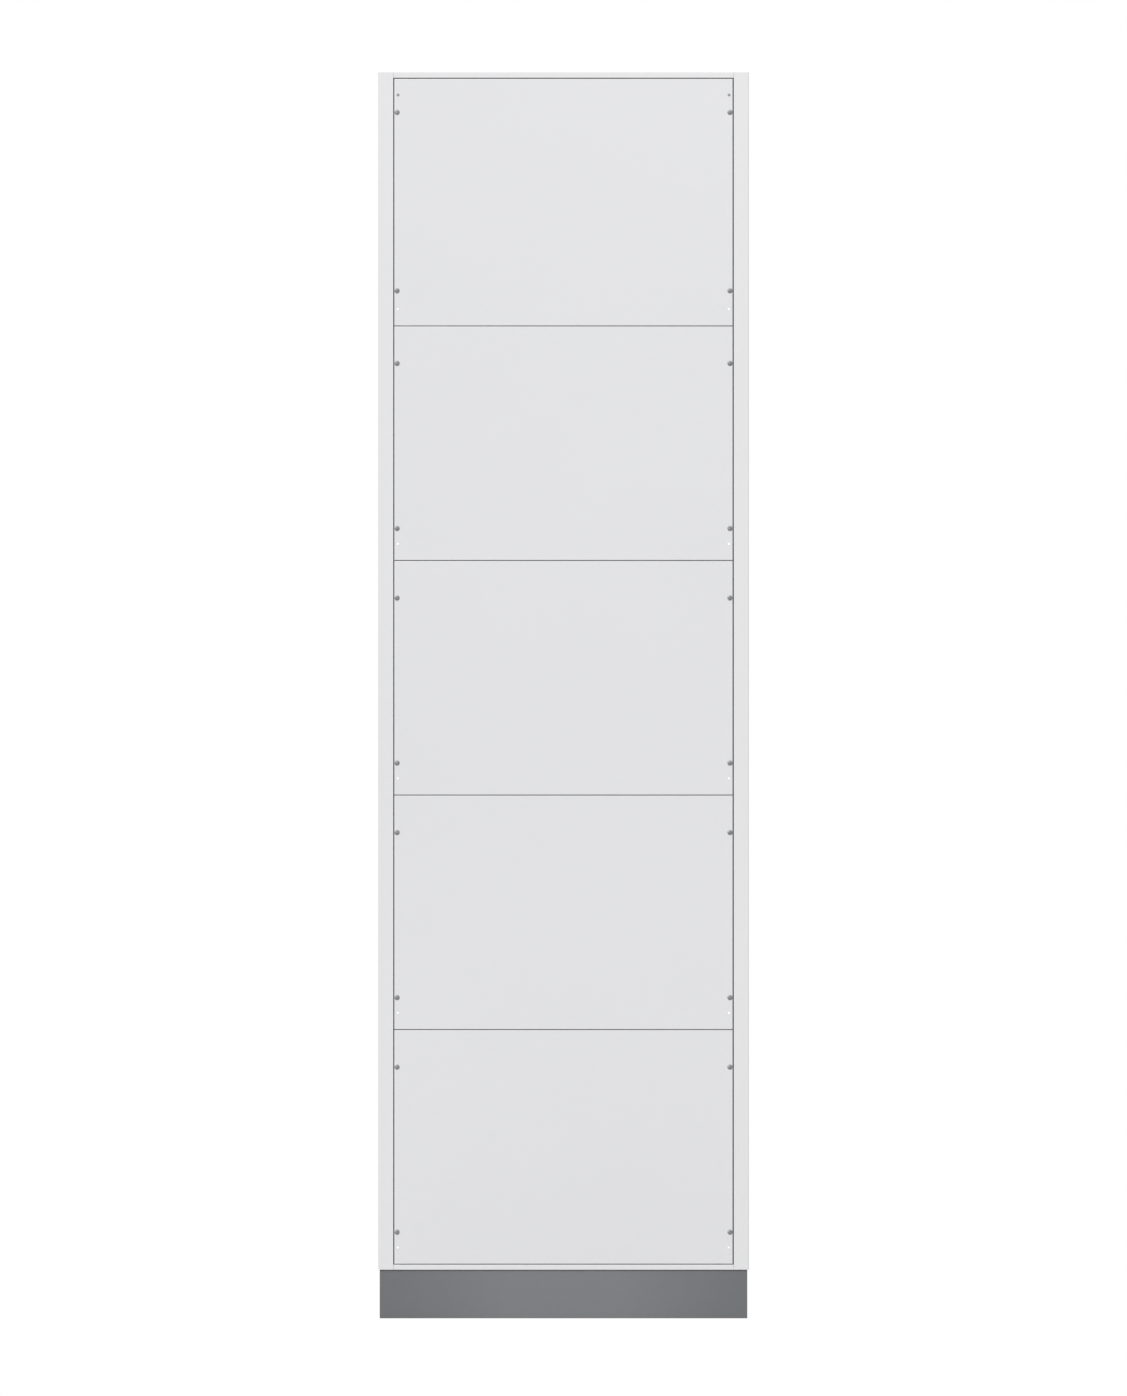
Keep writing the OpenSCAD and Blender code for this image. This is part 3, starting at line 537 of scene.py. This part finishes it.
def springs():
    """Compression spring behind each ejector shaft, and torsion spring on each hook's pin."""
    for k in DOORS:
        shaft_low, shaft_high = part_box(f"ejector_{k}")
        barrel_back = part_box("ejector_barrels")[1].y
        x = (shaft_low.x + shaft_high.x) / 2
        z = (shaft_low.z + shaft_high.z) / 2
        start = shaft_high.y + 2 * WIRE_R
        length = barrel_back - END_WALL - start - 2 * WIRE_R
        bm = bmesh.new()
        tube(bm, helix((x, start, z), (0, 1, 0), SPRING_R, length, 11), WIRE_R, sides=8)
        add_piece(f"ejector_spring_{k}", bm, "carcass", "zinc_plate", spring_steel)
        pin_low, pin_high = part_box("hook_pins")
        hook_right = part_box(f"lock_hook_{k}")[1].x
        hook_z = door_middle(k)
        pin_y = (pin_low.y + pin_high.y) / 2
        bm = bmesh.new()
        coil_path = helix((hook_right + 1.0 * MM, pin_y, hook_z), (1, 0, 0), SPRING_R, 3.0 * MM, 5.25)
        tail = coil_path[-1] + Vector((0, 14 * MM, -4 * MM))
        tube(bm, coil_path + [tail], WIRE_R, sides=8)
        add_piece(f"hook_spring_{k}", bm, "carcass", "zinc_plate", spring_steel)


def cable_ties():
    """Ties round the harness trunk, each with its head."""
    low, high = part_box("wiring_harness")
    radius = 3.5 * MM
    centre_x = low.x + radius
    centre_y = high.y - radius
    bm = bmesh.new()
    count = 14
    for i in range(count):
        z = low.z + (i + 0.7) * (high.z - low.z) / (count + 0.4)
        lathe(bm, [(radius + 0.1 * MM, -1.25 * MM), (radius + 0.9 * MM, -1.25 * MM), (radius + 1.1 * MM, 0),
                   (radius + 0.9 * MM, 1.25 * MM), (radius + 0.1 * MM, 1.25 * MM)],
              Matrix.Translation((centre_x, centre_y, z)), steps=24)
        block = bmesh.ops.create_cube(bm, size=1.0, matrix=Matrix.Translation((centre_x, centre_y + 5.4 * MM, z))
                                      @ Matrix.Diagonal((4 * MM, 2.6 * MM, 4.4 * MM, 1)))
        edges = {e for v in block["verts"] for e in v.link_edges}
        bmesh.ops.bevel(bm, geom=list(edges), offset=0.5 * MM, segments=2, profile=0.5, affect="EDGES")
    add_piece("harness_ties", bm, "carcass", "black_plastic")




def door_middle(k):
    """Height of the middle of door k."""
    low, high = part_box(f"door_{k}_panel")
    return (low.z + high.z) / 2


rivets()
painted_highlight_and_shade_caps()
screws()
springs()
cable_ties()


# ---------------------------------------------------------------- floor, light and camera


AMBIENT_SHARE = 0.62
KEY_STRENGTH = 2.06
KEY_DIRECTION = (0.42, 0.8, -0.55)  # the way the light travels
FLOOR_DROP = 0.2 * MM


def floor():
    """Pale floor just under the plinth."""
    bpy.ops.mesh.primitive_plane_add(size=60, location=(0, 0, -FLOOR_DROP))
    plane = bpy.context.object
    plane.name = "floor"
    s = Shader("floor_paint", (0.70, 0.70, 0.70), 0.6, specular=0.2)
    s.vary_roughness(s.noise(3, 2), 0.55, 0.65)
    plane.data.materials.append(s.mat)


def area_light(name, place, target, size, power):
    """Soft rectangular light at `place`, turned towards `target`."""
    data = bpy.data.lights.new(name, "AREA")
    data.shape = "RECTANGLE"
    data.size, data.size_y = size
    data.energy = power
    lamp = bpy.data.objects.new(name, data)
    bpy.context.scene.collection.objects.link(lamp)
    lamp.location = place
    lamp.rotation_mode = "QUATERNION"
    lamp.rotation_quaternion = (Vector(target) - Vector(place)).to_track_quat("-Z", "Y")


def dim_ambient(tree, share):
    """White behind the object, while the light that the surroundings give is only `share` of it."""
    path = tree.nodes.new("ShaderNodeLightPath")
    strength = tree.nodes.new("ShaderNodeMapRange")
    strength.inputs["To Min"].default_value = share
    strength.inputs["To Max"].default_value = 1.0
    tree.links.new(path.outputs["Is Camera Ray"], strength.inputs["Value"])
    tree.links.new(strength.outputs[0], tree.nodes["Background"].inputs["Strength"])


def studio():
    """Even white surroundings, a broad key light from the left, and soft fills from the right, above and behind."""
    world = bpy.data.worlds.new("studio")
    world.use_nodes = True
    world.node_tree.nodes["Background"].inputs["Color"].default_value = (1, 1, 1, 1)
    world.node_tree.nodes["Background"].inputs["Strength"].default_value = 1.0
    dim_ambient(world.node_tree, AMBIENT_SHARE)
    bpy.context.scene.world = world
    middle = (0, 0, cad_high.z / 2)
    key = bpy.data.lights.new("key", "SUN")
    key.energy = KEY_STRENGTH
    key.angle = math.radians(14)
    lamp = bpy.data.objects.new("key", key)
    bpy.context.scene.collection.objects.link(lamp)
    lamp.rotation_mode = "QUATERNION"
    lamp.rotation_quaternion = Vector(KEY_DIRECTION).to_track_quat("-Z", "Y")
    area_light("fill", (3.6, -3.6, 1.6), middle, (2.0, 2.4), 12)
    area_light("top", (0.1, -2.2, 3.2), (0, -0.3, 1.8), (1.6, 0.8), 8)
    area_light("back", (-0.6, 5.0, 3.4), middle, (2.6, 2.0), 150)
    scene = bpy.context.scene
    scene.view_settings.view_transform = "Standard"
    scene.view_settings.look = "None"


def camera():
    """Level, straight on and without perspective; the column fills the frame's height but for a narrow margin."""
    column_share = 0.89255  # of the frame's height
    raised_share = 0.00193  # how far the column's middle lies above the frame's
    data = bpy.data.cameras.new("camera")
    data.type = "ORTHO"
    height = cad_high.z - cad_low.z
    frame_height = height / column_share
    data.ortho_scale = frame_height
    data.clip_end = 50
    cam = bpy.data.objects.new("camera", data)
    bpy.context.scene.collection.objects.link(cam)
    cam.location = (0, -6, height / 2 - raised_share * frame_height)
    cam.rotation_euler = (math.radians(90), 0, 0)
    bpy.context.scene.camera = cam


floor()
studio()
camera()
